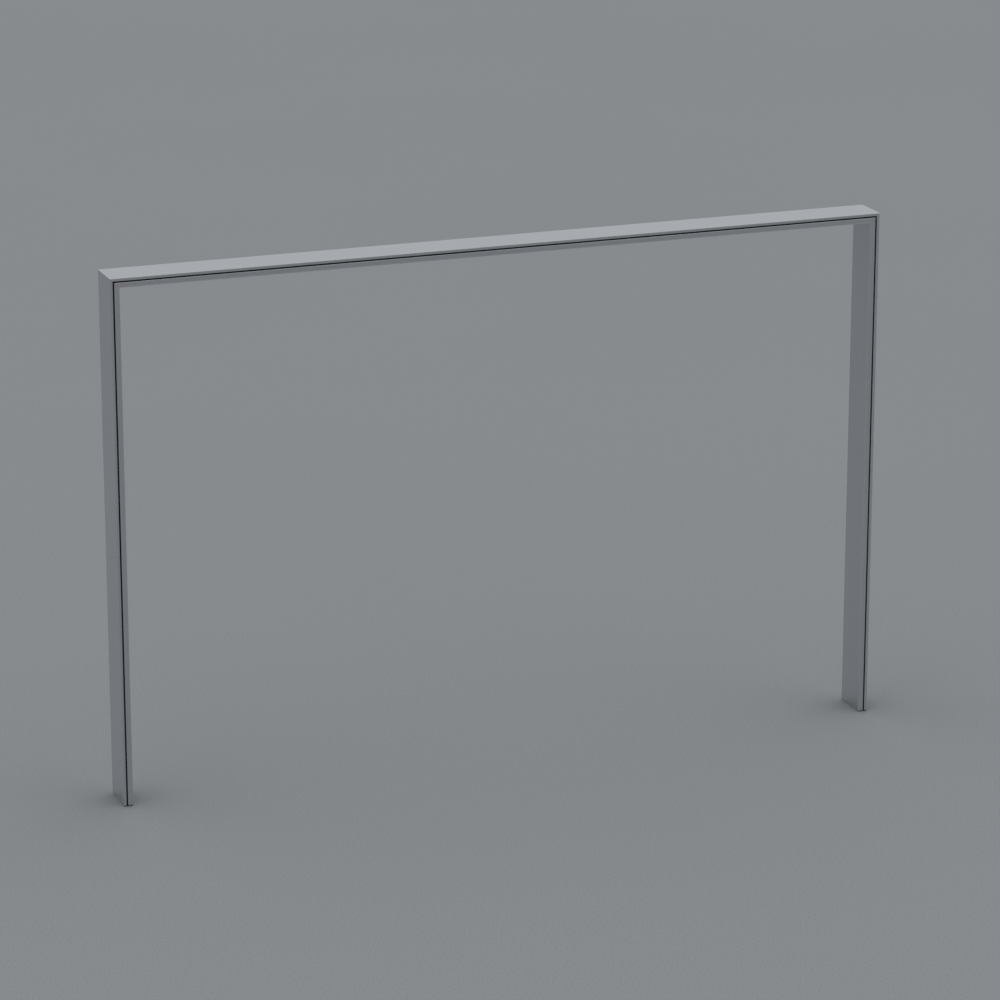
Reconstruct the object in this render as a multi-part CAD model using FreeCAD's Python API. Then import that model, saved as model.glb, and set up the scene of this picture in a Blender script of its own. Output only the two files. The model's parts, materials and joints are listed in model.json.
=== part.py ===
"""Walk-through security gate for a shop entrance, in millimetres.

An inverted-U portal of slim rectangular section.  Two aluminium shells face each other round a
steel ladder frame, each a flat panel bonded to an edge profile at the front and one at the rear.
The shallow outer shell is the clip-on service cover, the deeper inner one is fixed.  A black
insulating strip fills the seam between their profiles, front and rear.  The detection loop runs
behind that strip, and the electronics stand in the left leg.

Part frame: +Z up, X across the opening, front face at -Y, origin on the floor at the middle.

Each member (left leg, right leg, beam) is drawn in its own member frame:
    u  through the thickness, 0 on the outer face and THICK on the face towards the opening
    v  through the depth, negative towards the front
    w  along the member: height in a leg, X in the beam
"""
import FreeCAD, Part
import math
import os

V = FreeCAD.Vector

# ---- overall size ----
WIDTH = 3320.0
HEIGHT = 2200.0
DEPTH = 170.0
THICK = 40.0
HALF_W = WIDTH / 2
HALF_D = DEPTH / 2

# ---- shells ----
WALL = 2.0               # panels and profile walls
LID_LIP = 12.2           # where the outer profile ends, measured from the outer face
SEAM = 6.6               # gap between the outer and inner profiles
SEAM_CHAMFER = 0.5       # bright bevel on each side of the seam
HOOK = 4.0               # inward return of each profile beside the seam
FLANGE = 10.0            # inward flange of each profile, bonded behind its panel
FLANGE_WALL = 1.5
FACE_RADIUS = 1.0        # long outer corners of the panels
EDGE_RADIUS = 0.4        # eased edges where a panel meets a profile
MITRE_GAP = 0.3
PANEL_LIFT = 1.0         # panels stop this far above the floor
PAD_HEIGHT = 4.0         # foot pad, a black line under the profiles
PROFILE_LIFT = 4.3       # profiles stop just above the pad
COVER_RIB_V = 50.0       # ribs inside the cover that the clips hold
COVER_RIB_DEPTH = 5.0
COVER_RIB_WALL = 1.6
COVER_RIB_LIFT = 20.0    # ribs end above the floor plate

# ---- seam strip ----
STRIP_RECESS = 1.5
STRIP_CLEAR = 0.15
STRIP_BAR = 2.0
STRIP_RETURN = 1.5       # wall of the strip's return round the inner hook
STRIP_GAP = 0.2          # between that return and the hook
STRIP_BACK_V = HALF_D - WALL - HOOK - 0.3

# ---- ladder frame ----
RAIL_U0, RAIL_U1 = 10.0, 32.0
RAIL_V0, RAIL_V1 = 35.0, 65.0
RAIL_V = (RAIL_V0 + RAIL_V1) / 2
RAIL_WALL = 2.5
RAIL_FOOT = 106.0        # rails start this high, clear of the anchors and the loop
BRACKET_U1 = 36.0        # steel brackets lie behind the rails
RUNG_HALF = 20.0
RUNG_FLANGE = 2.5
RUNG_WEB_U0 = 29.0
RUNG_FLANGE_V = 20.0     # beyond this the rung leaves a cable corridor
RUNG_HOLE_V = 26.0
RUNG_HOLE_R = 2.2
LEG_RUNG_FIRST, LEG_RUNG_LAST = 330.0, 1890.0
LEG_RUNG_PITCH = 390.0
BEAM_RUNG_END = 1300.0
BEAM_RUNG_PITCH = 325.0

# ---- base ----
BASE_TOP = 12.0
BASE_U0 = 4.0
BASE_HALF_V = 72.0
CHEEK_TOP = 250.0
BRACKET_HALF_V = 62.0
FIX_U = 20.0             # anchors and jacks stand on the section's centre line
ANCHOR_V = 45.0
ANCHOR_R = 5.5
ANCHOR_PAD_R = 7.5
PAD_INSET_U = 2.3
PAD_INSET_V = 0.8
ENTRY_U = 16.0
ENTRY_R = 6.0            # clear bore of the cable grommet
ENTRY_HOLE_R = 9.0
GROMMET_FLANGE_R = 11.0
GROMMET_FLANGE = 2.0
GUSSET_V = 30.0
GUSSET_WALL = 4.0
GUSSET_TOP = 90.0
GUSSET_INSET = 3.0

# ---- levelling jacks ----
JACK_V = 64.0
JACK_R = 4.0
JACK_FIT = 0.05
JACK_TIP_R = 2.5
JACK_TIP_Z = 1.6
JACK_SHOULDER_Z = 3.7
JACK_HEX_Z0, JACK_HEX_Z1 = 34.0, 40.0
JACK_HEX = 13.0
DISC_R = 8.0
DISC_Z0, DISC_Z1 = 0.5, 3.5
DISC_CLEAR = 0.6         # around the disc, in the pad

# ---- corner brackets ----
CORNER_ARM = 208.0

# ---- cap screws that join rails and brackets ----
SCREW_R = 2.5
SCREW_HOLE_R = 2.7
SCREW_HEAD_R = 4.25
SCREW_HEAD = 5.0
SOCKET_HEX = 4.0
SCREW_INNER_V, SCREW_OUTER_V = 42.0, 58.0
BASE_SCREW_W = (140.0, 220.0)
CORNER_SCREWS = (70.0, 200.0)    # distances from the outer corner

# ---- cover clips and inner channel mounts ----
CLIP_LEG_FIRST, CLIP_LEG_LAST = 180.0, 2065.0
CLIP_BEAM_END = 1525.0
CLIP_PITCH = 440.0
MOUNT_LEG_FIRST, MOUNT_LEG_LAST = 300.0, 1920.0
MOUNT_BEAM_END = 1390.0
MOUNT_PITCH = 420.0
MOUNT_WIDE, MOUNT_LONG = 24.0, 40.0
CLIP_LONG = 20.0
CLIP_SHEET = 0.6
CLIP_FLARE = 1.2
CLIP_BASE = 0.8
CLIP_BASE_WIDE = 12.0
CLIP_TIP_U = WALL + 1.4
CLIP_CLEAR = 0.15

# ---- detection loop ----
LOOP_R = 3.5
LOOP_U = 22.0
LOOP_V = 70.5
LOOP_CORNER_R = 42.0
LOOP_FOOT = 82.0         # height at which the loop crosses a leg
LOOP_FOOT_R = 25.0
LOOP_END_V = 10.0
LOOP_CLIP_FIRST, LOOP_CLIP_LAST = 150.0, 2110.0
LOOP_CLIP_BEAM_END = 1570.0
LOOP_CLIP_PITCH = 350.0

# ---- controller tray, between the first two rungs of the left leg ----
SHEET = 1.6
TRAY_HALF_V = 33.0
TRAY_U1 = RUNG_WEB_U0
TRAY_U0 = TRAY_U1 - SHEET
TRAY_W0, TRAY_W1 = 365.0, 685.0
TRAY_WALL = 10.0
TRAY_RUNGS = (LEG_RUNG_FIRST, LEG_RUNG_FIRST + LEG_RUNG_PITCH)
EAR_V0, EAR_V1 = 21.0, 32.0
EAR_REACH = 8.0          # beyond the rung's centre line
TRAY_SCREW_R = 2.0
TRAY_SCREW_U1 = RAIL_U1 + 2.0
TRAY_HEAD_R = 3.8
TRAY_HEAD = 3.0
TRAY_SLOT = 1.0          # width and depth of the slot in the head
KIT_V0, KIT_V1 = -30.0, 16.0     # width used by the modules; the rest is the cable corridor

# ---- power supply ----
SUPPLY_U0 = 8.0
SUPPLY_W0, SUPPLY_W1 = 444.0, 540.0
SUPPLY_EDGE = 1.5
SUPPLY_ROW = 12.0        # length of its terminal row
SUPPLY_STEP = 6.0        # the row lies lower than the case
SUPPLY_WELL_R = 2.6
SUPPLY_WELL_PITCH = 8.5
VENT_FIRST, VENT_LAST = SUPPLY_W0 + 14.0, SUPPLY_W1 - 30.0
VENT_PITCH = 6.0
VENT_LONG, VENT_WIDE = 30.0, 2.0

# ---- controller board ----
BOARD = 1.6
BOARD_U0 = 21.0
BOARD_W0, BOARD_W1 = 548.0, 680.0
STANDOFF_HEX = 5.0
STANDOFF_INSET = 4.5
CHIP_HIGH = 1.4
PROCESSOR_V, PROCESSOR_W, PROCESSOR_SIZE = -14.0, 594.0, 14.0
DRIVER_V, DRIVER_WIDE, DRIVER_LONG = 4.0, 5.0, 8.0
DRIVER_WS = (PROCESSOR_W - PROCESSOR_SIZE / 2, PROCESSOR_W + PROCESSOR_SIZE / 2)
REGULATOR_V, REGULATOR_W, REGULATOR_SIZE = -18.0, 574.0, 6.0
SINK_U0 = 8.0
SINK_V0, SINK_V1 = -26.0, -4.0
SINK_W0, SINK_W1 = 616.0, 648.0
SINK_BASE = 3.0
SINK_FINS = 6
SINK_FIN = 1.2
CAN_U0, CAN_V, CAN_R = 8.0, 10.0, 5.0
CAN_FIRST, CAN_LAST = 620.0, 633.0
LIGHT_U0, LIGHT_R = 16.0, 1.5
LIGHT_V0, LIGHT_V1, LIGHT_PITCH = -24.0, -6.0, 6.0
LIGHT_W = BOARD_W1 - 8.0
TERMINAL_U0 = 11.0
TERMINAL_SHORT, TERMINAL_LONG = 10.0, 12.0
TERMINAL_EDGE = 6.0      # terminals at a board's end, from that end to their middle
WELL_R, WELL_DEEP = 2.0, 2.0
SIDE_V = KIT_V1 - TERMINAL_SHORT / 2
SIGNAL_W, ALARM_W = 566.0, 660.0     # the board's side terminals

# ---- service panel ----
PANEL_U0 = 12.0
PANEL_W0, PANEL_W1 = 370.0, 434.0
BEZEL = 1.2
BEZEL_U = PANEL_U0 - BEZEL
RIM = 1.5                # how far a bezel reaches beyond its hole
HOLE_CLEAR = 0.1
ROUND_HOLE_R = 6.0
BARREL_END = TRAY_U0 - 1.0
SWITCH_V, SWITCH_W = -20.0, 402.0
SWITCH_WIDE, SWITCH_TALL = 12.0, 19.0
SWITCH_END = TRAY_U0 - 2.0
SWITCH_FLOOR = TRAY_U0 - 5.0
SWITCH_SIDE, SWITCH_CAP = 1.0, 0.8   # walls round the rocker
PIVOT_R = 1.2
PIVOT_FIT = 0.05
ROCKER_U = 13.5
ROCKER_TILT = 8.0        # degrees each way from the middle; modelled switched off
ROCKER_GAP = 0.3         # between the rocker and the walls beside it
ROCKER_REACH = 8.2       # from the pivot to the rocker's ends
ROCKER_DISH_U, ROCKER_TIP_U = 9.8, 8.4
ROCKER_FLANK_U, ROCKER_KEEL_U = 14.5, 17.5
ROCKER_TAPER, ROCKER_KEEL = 1.4, 3.0
FUSE_V, FUSE_W = 4.0, 390.0
FUSE_CAP_U = 7.0
FUSE_SLOT, FUSE_SLOT_DEEP = 1.4, 1.2
BUTTON_V, BUTTON_W = 4.0, 418.0
BUTTON_R = 4.0
BUTTON_U0, BUTTON_U1 = 7.0, 16.0
BUTTON_FLOOR = 20.0
BUTTON_EDGE = 0.8

# ---- tuning board, on the base bracket ----
TUNER_U0 = 24.0
TUNER_HALF_V = 32.5
TUNER_W0, TUNER_W1 = 122.0, 202.0
TUNER_HOLE_V = 28.0
TUNER_HOLE_WS = (TUNER_W0 + 6.0, TUNER_W1 - 18.0)
LOOP_TERMINAL_U0, LOOP_TERMINAL_WIDE = 12.0, 13.0
TRIMMER_W = 162.0
TRIMMER_VS = (-24.0, -10.0)
TRIMMER_SIZE = 9.0
ROTOR_R = 3.0
ROTOR_FIT = 0.05
ROTOR_SEAT = 5.0         # the rotor's socket ends this far above the board
ROTOR_LIFT = 0.1
ROTOR_PROUD = 1.5
ROTOR_SLOT, ROTOR_SLOT_DEEP = 0.9, 1.2
FILM_U0, FILM_V = 13.0, 12.0
FILM_FIRST, FILM_LAST, FILM_PITCH = 148.0, 170.0, 11.0
FILM_WIDE, FILM_THICK = 18.0, 7.0
TUNER_CHIP_W = 188.0
TUNER_CHIP_VS = (-20.0, -4.0)
TUNER_CHIP_WIDE, TUNER_CHIP_TALL = 8.0, 6.0

# ---- tamper switch and magnet ----
TAMPER_V, TAMPER_W = -43.0, 605.0
REED_U0, REED_WIDE, REED_LONG = 5.2, 11.0, 34.0
REED_HOLE_R, REED_HOLE_DEEP = 1.8, 1.8
REED_HOLE_WS = (TAMPER_W - 13.0, TAMPER_W + 13.0)
MAGNET_U1, MAGNET_WIDE, MAGNET_LONG = 4.8, 9.0, 26.0

# ---- sounder ----
SOUNDER_W = -650.0
SOUNDER_R = 16.0
GRILLE_HOLE_R, GRILLE_DEEP = 1.3, 2.0
GRILLE_RINGS = 2
GRILLE_PITCH = 5.0       # between rings
GRILLE_FIRST_RING = 6    # holes in the first ring

# ---- small wiring ----
WIRE_R = 2.5
WIRE_U, WIRE_V = 16.0, 27.5
WIRE_CORNER_R = 16.0
WIRE_TURN_R = 6.0
WIRE_CLIP_FIRST, WIRE_CLIP_LAST, WIRE_CLIP_PITCH = 250.0, 2090.0, 306.0
WIRE_CLIP_BEAM_FIRST, WIRE_CLIP_BEAM_LAST = -1560.0, SOUNDER_W - 60.0
WIRE_CLIP_BEAM_PITCH = 290.0
LEAD_R = 2.0
LEAD_U, LEAD_V = 17.0, -8.0

# ---- cable saddles ----
SADDLE_GRIP = 1.0        # the saddle ends this far beyond the cable's middle
SADDLE_CLEAR = 0.1
LOOP_SADDLE_HALF = 6.0
WIRE_SADDLE_HALF = 4.0

OVER = 1.0               # how far cutting tools stand out of what they cut
TOLERANCE = 1e-6

nodes = {}


# ---------------------------------------------------------------- drawing helpers

def block(u0, u1, v0, v1, w0, w1):
    return Part.makeBox(u1 - u0, v1 - v0, w1 - w0, V(u0, v0, w0))


def centred(u0, u1, v, w, dv, dw):
    """Block of size dv by dw centred on (v, w)."""
    return block(u0, u1, v - dv / 2, v + dv / 2, w - dw / 2, w + dw / 2)


def rod_w(u, v, w0, w1, radius):
    return Part.makeCylinder(radius, w1 - w0, V(u, v, w0), V(0, 0, 1))


def rod_u(v, w, u0, u1, radius):
    return Part.makeCylinder(radius, u1 - u0, V(u0, v, w), V(1, 0, 0))


def prism(points, direction):
    return Part.Face(Part.makePolygon(points + points[:1])).extrude(direction)


def hexagon_u(v, w, u0, u1, across):
    radius = across / math.sqrt(3)
    turns = [math.radians(60 * i + 30) for i in range(6)]
    ring = [V(u0, v + radius * math.cos(a), w + radius * math.sin(a)) for a in turns]
    return prism(ring, V(u1 - u0, 0, 0))


def hexagon_w(u, v, w0, w1, across):
    radius = across / math.sqrt(3)
    turns = [math.radians(60 * i) for i in range(6)]
    ring = [V(u + radius * math.cos(a), v + radius * math.sin(a), w0) for a in turns]
    return prism(ring, V(0, 0, w1 - w0))


def union(shapes):
    return shapes[0].fuse(shapes[1:]).removeSplitter()


def cut(shape, tools):
    return shape.cut(Part.makeCompound(tools))


def flipped(shape):
    """Mirror image about v = 0: front to rear."""
    return shape.mirror(V(0, 0, 0), V(0, 1, 0))


def both_v(shape):
    return [shape, flipped(shape)]


def long_edges(shape, places):
    """Edges that run along w at the given (u, v) places."""
    found = []
    for edge in shape.Edges:
        a, b = edge.Vertexes[0].Point, edge.Vertexes[-1].Point
        lengthwise = abs(a.x - b.x) + abs(a.y - b.y) < TOLERANCE
        if lengthwise and any(abs(a.x - u) + abs(a.y - v) < TOLERANCE for u, v in places):
            found.append(edge)
    return found


def rounded(shape, places, radius):
    return shape.makeFillet(radius, long_edges(shape, places))


def to_left(shape):
    moved = shape.copy()
    moved.translate(V(-HALF_W, 0, 0))
    return moved


def other_side(shape):
    """Mirror image about the middle of the opening."""
    return shape.mirror(V(0, 0, 0), V(1, 0, 0))


def to_right(shape):
    return other_side(to_left(shape))


def to_beam(shape):
    """u points down, v stays Y and w becomes X."""
    moved = shape.copy()
    moved.rotate(V(0, 0, 0), V(0, 1, 0), 90)
    moved.translate(V(0, 0, HEIGHT))
    return moved


def left_point(u, v, w):
    return V(-HALF_W + u, v, w)


def right_point(u, v, w):
    return V(HALF_W - u, v, w)


def beam_point(u, v, w):
    return V(w, v, HEIGHT - u)


def mitre_leg(shape):
    """Keeps what lies below the diagonal of the top left corner."""
    shift = MITRE_GAP / math.sqrt(2)
    reach = 2 * THICK
    outline = [(-HALF_W - THICK, -THICK), (-HALF_W - THICK, HEIGHT + THICK - shift),
               (-HALF_W + reach, HEIGHT - reach - shift), (-HALF_W + reach, -THICK)]
    return shape.common(prism([V(x, -DEPTH, z) for x, z in outline], V(0, 2 * DEPTH, 0)))


def mitre_beam(shape):
    """Keeps what lies between the diagonals of the two top corners."""
    shift = MITRE_GAP / math.sqrt(2)
    reach = 2 * THICK
    top, low = HALF_W + THICK - shift, HALF_W - reach - shift
    outline = [(-top, HEIGHT + THICK), (-low, HEIGHT - reach), (low, HEIGHT - reach), (top, HEIGHT + THICK)]
    return shape.common(prism([V(x, -DEPTH, z) for x, z in outline], V(0, 2 * DEPTH, 0)))


def tube(points, radius, corners):
    """Round bar along straight runs joined by tangent arcs; corners holds one radius per bend."""
    edges, start = [], points[0]
    for i, corner in enumerate(corners, 1):
        here = points[i]
        back = (points[i - 1] - here).normalize()
        ahead = (points[i + 1] - here).normalize()
        half = back.getAngle(ahead) / 2
        reach = corner / math.tan(half)
        bisector = (back + ahead).normalize()
        middle = here + bisector * (corner / math.sin(half) - corner)
        arc_in, arc_out = here + back * reach, here + ahead * reach
        edges.append(Part.LineSegment(start, arc_in).toShape())
        edges.append(Part.Arc(arc_in, middle, arc_out).toShape())
        start = arc_out
    edges.append(Part.LineSegment(start, points[-1]).toShape())
    path = Part.Wire(edges)
    ring = Part.Wire([Part.Circle(points[0], points[1] - points[0], radius).toShape()])
    bar = path.makePipeShell([ring], True, False)
    expected = math.pi * radius ** 2 * path.Length
    print("tube: length %.1f, volume over section x length %.4f" % (path.Length, bar.Volume / expected))
    return bar


def spread(first, last, pitch):
    """Evenly spaced places from first to last, no further apart than pitch."""
    count = math.ceil((last - first) / pitch)
    return [first + (last - first) * i / count for i in range(count + 1)]


def keep(name, shapes):
    nodes.setdefault(name, []).extend(shapes)


def keep_everywhere(name, draw, leg_places, beam_places):
    """The same drawn piece at each place along both legs and along the beam."""
    keep(name, [to_left(draw(w)) for w in leg_places])
    keep(name, [to_right(draw(w)) for w in leg_places])
    keep(name, [to_beam(draw(w)) for w in beam_places])


# ---------------------------------------------------------------- shells

def panel(face_u, back_u, w0, w1):
    """Flat face of a shell; face_u is the side that shows."""
    shape = block(min(face_u, back_u), max(face_u, back_u), -HALF_D, HALF_D, w0, w1)
    shape = rounded(shape, [(face_u, v) for v in (-HALF_D, HALF_D)], FACE_RADIUS)
    return rounded(shape, [(back_u, v) for v in (-HALF_D, HALF_D)], EDGE_RADIUS)


def profile(panel_u, seam_u, w0, w1):
    """Front edge profile: a wall from the panel to the seam, a flange behind the panel and a hook."""
    inward = math.copysign(1, seam_u - panel_u)

    def piece(from_u, to_u, reach):
        return block(min(from_u, to_u), max(from_u, to_u), -HALF_D, -HALF_D + reach, w0, w1)

    shape = union([
        piece(panel_u, seam_u, WALL),
        piece(panel_u, panel_u + inward * FLANGE_WALL, FLANGE),
        piece(seam_u - inward * WALL, seam_u, WALL + HOOK),
    ])
    shape = shape.makeChamfer(SEAM_CHAMFER, long_edges(shape, [(seam_u, -HALF_D)]))
    return rounded(shape, [(panel_u, -HALF_D)], EDGE_RADIUS)


def clip_rib(w0, w1):
    """Rib behind the outer panel that the spring clips hold."""
    v0 = -COVER_RIB_V - COVER_RIB_WALL / 2
    return block(WALL, WALL + COVER_RIB_DEPTH, v0, v0 + COVER_RIB_WALL, w0, w1)


def seam_strip(w0, w1):
    """Insulating strip: a stem in the seam, a bar behind it and a return round the inner hook."""
    inner_end = LID_LIP + SEAM
    return_u = inner_end + WALL + STRIP_GAP
    bar_v = STRIP_BACK_V - STRIP_BAR
    return union([
        block(LID_LIP + STRIP_CLEAR, inner_end - STRIP_CLEAR, -HALF_D + STRIP_RECESS, -bar_v, w0, w1),
        block(RAIL_U0, return_u + STRIP_RETURN, -STRIP_BACK_V, -bar_v, w0, w1),
        block(return_u, return_u + STRIP_RETURN, -HALF_D + WALL + STRIP_GAP, -bar_v, w0, w1),
    ])


def shell_parts(panel_w0, profile_w0, rib_w0, w1):
    """One member's panels, profiles, ribs and strips, by node name."""
    outer_end, inner_end = LID_LIP, LID_LIP + SEAM
    return {
        "outer_panel": [panel(0, WALL, panel_w0, w1)],
        "outer_profiles": both_v(profile(WALL, outer_end, profile_w0, w1)) + both_v(clip_rib(rib_w0, w1)),
        "inner_panel": [panel(THICK, THICK - WALL, panel_w0, w1)],
        "inner_profiles": both_v(profile(THICK - WALL, inner_end, profile_w0, w1)),
        "seam_strips": both_v(seam_strip(profile_w0, w1)),
    }


def make_shells():
    shared = ("inner_profiles", "seam_strips")
    for name, shapes in shell_parts(PANEL_LIFT, PROFILE_LIFT, COVER_RIB_LIFT, HEIGHT).items():
        placed = [mitre_leg(to_left(s)) for s in shapes]
        keep(name if name in shared else name + "_left", placed)
        keep(name if name in shared else name + "_right", [other_side(s) for s in placed])
    for name, shapes in shell_parts(-HALF_W, -HALF_W, -HALF_W, HALF_W).items():
        keep(name if name in shared else name + "_top", [mitre_beam(to_beam(s)) for s in shapes])


# ---------------------------------------------------------------- ladder frame

def screw_places(inner_w, outer_w):
    """(v, w) of one bracket's four cap screws, two staggered in each rail."""
    pair = ((SCREW_INNER_V, inner_w), (SCREW_OUTER_V, outer_w))
    return [(sign * v, w) for sign in (-1, 1) for v, w in pair]


def base_screws():
    return screw_places(*BASE_SCREW_W)


def leg_corner_screws():
    return screw_places(*[HEIGHT - d for d in CORNER_SCREWS])


def beam_corner_screws():
    return screw_places(*[-HALF_W + d for d in CORNER_SCREWS])


def drills(places, u0, u1):
    return [rod_u(v, w, u0 - OVER, u1 + OVER, SCREW_HOLE_R) for v, w in places]


def rail(w0, w1, screws):
    """Rear rail of a member: square tube drilled for its cap screws."""
    outer = block(RAIL_U0, RAIL_U1, RAIL_V0, RAIL_V1, w0, w1)
    corners = [(u, v) for u in (RAIL_U0, RAIL_U1) for v in (RAIL_V0, RAIL_V1)]
    bore = block(RAIL_U0 + RAIL_WALL, RAIL_U1 - RAIL_WALL, RAIL_V0 + RAIL_WALL, RAIL_V1 - RAIL_WALL,
                 w0 - OVER, w1 + OVER)
    rear = [(v, w) for v, w in screws if v > 0]
    return cut(rounded(outer, corners, RAIL_WALL), [bore] + drills(rear, RAIL_U0, RAIL_U1))


def rung(w):
    """Cross piece between the rails: a web with two short flanges."""
    edges = (w - RUNG_HALF, w + RUNG_HALF - RUNG_FLANGE)
    parts = [block(RUNG_WEB_U0, RAIL_U1, -RAIL_V0, RAIL_V0, w - RUNG_HALF, w + RUNG_HALF)]
    parts += [block(RAIL_U0, RUNG_WEB_U0, -RUNG_FLANGE_V, RUNG_FLANGE_V, a, a + RUNG_FLANGE) for a in edges]
    holes = [rod_u(v, w, RAIL_U0, BRACKET_U1, RUNG_HOLE_R) for v in (-RUNG_HOLE_V, RUNG_HOLE_V)]
    return cut(union(parts), holes)


def cap_screw(place):
    """Socket cap screw along u: head on the rail, thread through the bracket."""
    v, w = place
    head_u = RAIL_U0 - SCREW_HEAD
    head = rod_u(v, w, head_u, RAIL_U0, SCREW_HEAD_R)
    socket = hexagon_u(v, w, head_u - OVER, head_u + SCREW_HEAD / 2, SOCKET_HEX)
    return union([head.cut(socket), rod_u(v, w, RAIL_U0, BRACKET_U1, SCREW_R)])


def cover_clip(w):
    """Spring clip on the rear rail: two arms that grip a rib of the cover."""
    base_u = RAIL_U0 - CLIP_BASE
    near = COVER_RIB_WALL / 2 + CLIP_CLEAR
    lip = CLIP_SHEET + CLIP_FLARE
    parts = [centred(base_u, RAIL_U0, COVER_RIB_V, w, CLIP_BASE_WIDE, CLIP_LONG)]
    for sign in (-1, 1):
        arm_v = COVER_RIB_V + sign * (near + CLIP_SHEET / 2)
        lip_v = COVER_RIB_V + sign * (near + lip / 2)
        parts.append(centred(CLIP_TIP_U, base_u, arm_v, w, CLIP_SHEET, CLIP_LONG))
        parts.append(centred(CLIP_TIP_U - CLIP_SHEET, CLIP_TIP_U, lip_v, w, lip, CLIP_LONG))
    return union(parts)


def cover_mount(w):
    """Rubber block that carries the inner shell off the rear rail."""
    return centred(RAIL_U1, THICK - WALL, RAIL_V, w, MOUNT_WIDE, MOUNT_LONG)


def saddle(u, v, radius, half, v0, v1, w):
    """Snap-in saddle that holds a cable at (u, v), from v0 to v1 on a rail's side."""
    body = block(u - half, u + half, v0, v1, w - half, w + half)
    return body.cut(rod_w(u, v, w - half - OVER, w + half + OVER, radius + SADDLE_CLEAR))


def loop_saddle(w):
    return saddle(LOOP_U, LOOP_V, LOOP_R, LOOP_SADDLE_HALF, RAIL_V1, LOOP_V + SADDLE_GRIP, w)


def wire_saddle(w):
    return saddle(WIRE_U, WIRE_V, WIRE_R, WIRE_SADDLE_HALF, WIRE_V - SADDLE_GRIP, RAIL_V0, w)


def corner_bracket():
    """Bent steel plate in the inside of the top left corner."""
    left, under = -HALF_W + RAIL_U1, HEIGHT - RAIL_U1
    plate = BRACKET_U1 - RAIL_U1
    wide = 2 * BRACKET_HALF_V
    upright = Part.makeBox(plate, wide, CORNER_ARM, V(left, -BRACKET_HALF_V, under - CORNER_ARM))
    flat = Part.makeBox(CORNER_ARM, wide, plate, V(left, -BRACKET_HALF_V, under - plate))
    holes = [to_left(h) for h in drills(leg_corner_screws(), RAIL_U1, BRACKET_U1)]
    holes += [to_beam(h) for h in drills(beam_corner_screws(), RAIL_U1, BRACKET_U1)]
    return cut(union([upright, flat]), holes)


def make_frame():
    leg_rail = rail(RAIL_FOOT, HEIGHT - RAIL_U0, base_screws() + leg_corner_screws())
    beam_end = HALF_W - RAIL_U1
    beam_screws = beam_corner_screws() + [(v, -w) for v, w in beam_corner_screws()]
    keep("rails_left", [to_left(s) for s in both_v(leg_rail)])
    keep("rails_right", [to_right(s) for s in both_v(leg_rail)])
    keep("rails_top", [to_beam(s) for s in both_v(rail(-beam_end, beam_end, beam_screws))])
    keep_everywhere("rungs", rung, spread(LEG_RUNG_FIRST, LEG_RUNG_LAST, LEG_RUNG_PITCH),
                    spread(-BEAM_RUNG_END, BEAM_RUNG_END, BEAM_RUNG_PITCH))
    bracket = corner_bracket()
    keep("corner_bracket_left", [bracket])
    keep("corner_bracket_right", [other_side(bracket)])
    keep_everywhere("frame_screws", cap_screw, base_screws() + leg_corner_screws(), beam_screws)

    clip_legs = spread(CLIP_LEG_FIRST, CLIP_LEG_LAST, CLIP_PITCH)
    clip_beam = spread(-CLIP_BEAM_END, CLIP_BEAM_END, CLIP_PITCH)
    mount_legs = spread(MOUNT_LEG_FIRST, MOUNT_LEG_LAST, MOUNT_PITCH)
    mount_beam = spread(-MOUNT_BEAM_END, MOUNT_BEAM_END, MOUNT_PITCH)
    saddle_legs = spread(LOOP_CLIP_FIRST, LOOP_CLIP_LAST, LOOP_CLIP_PITCH)
    saddle_beam = spread(-LOOP_CLIP_BEAM_END, LOOP_CLIP_BEAM_END, LOOP_CLIP_PITCH)
    for name, draw, legs, beam in (("cover_clips", cover_clip, clip_legs, clip_beam),
                                   ("cover_mounts", cover_mount, mount_legs, mount_beam),
                                   ("cable_saddles", loop_saddle, saddle_legs, saddle_beam)):
        keep_everywhere(name, draw, legs, beam)
        keep_everywhere(name, lambda w: flipped(draw(w)), legs, beam)


# ---------------------------------------------------------------- base

def base_bracket():
    """Floor plate, upright cheek behind the rails and two gussets."""
    plate = block(BASE_U0, BRACKET_U1, -BASE_HALF_V, BASE_HALF_V, PAD_HEIGHT, BASE_TOP)
    cheek = block(RAIL_U1, BRACKET_U1, -BRACKET_HALF_V, BRACKET_HALF_V, PAD_HEIGHT, CHEEK_TOP)
    gusset_v = GUSSET_V - GUSSET_WALL / 2
    foot_u = BASE_U0 + GUSSET_INSET
    outline = [(foot_u, BASE_TOP), (RAIL_U1, BASE_TOP), (RAIL_U1, GUSSET_TOP)]
    triangle = [V(u, gusset_v, w) for u, w in outline]
    gusset = prism(triangle, V(0, GUSSET_WALL, 0))
    holes = drills(base_screws(), RAIL_U1, BRACKET_U1)
    for v in (-1, 1):
        holes.append(rod_w(FIX_U, v * ANCHOR_V, 0, BASE_TOP + OVER, ANCHOR_R))
        holes.append(rod_w(FIX_U, v * JACK_V, 0, BASE_TOP + OVER, JACK_R + JACK_FIT))
    holes.append(rod_w(ENTRY_U, 0, 0, BASE_TOP + OVER, ENTRY_HOLE_R))
    return cut(union([plate, cheek] + both_v(gusset)), holes)


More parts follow.
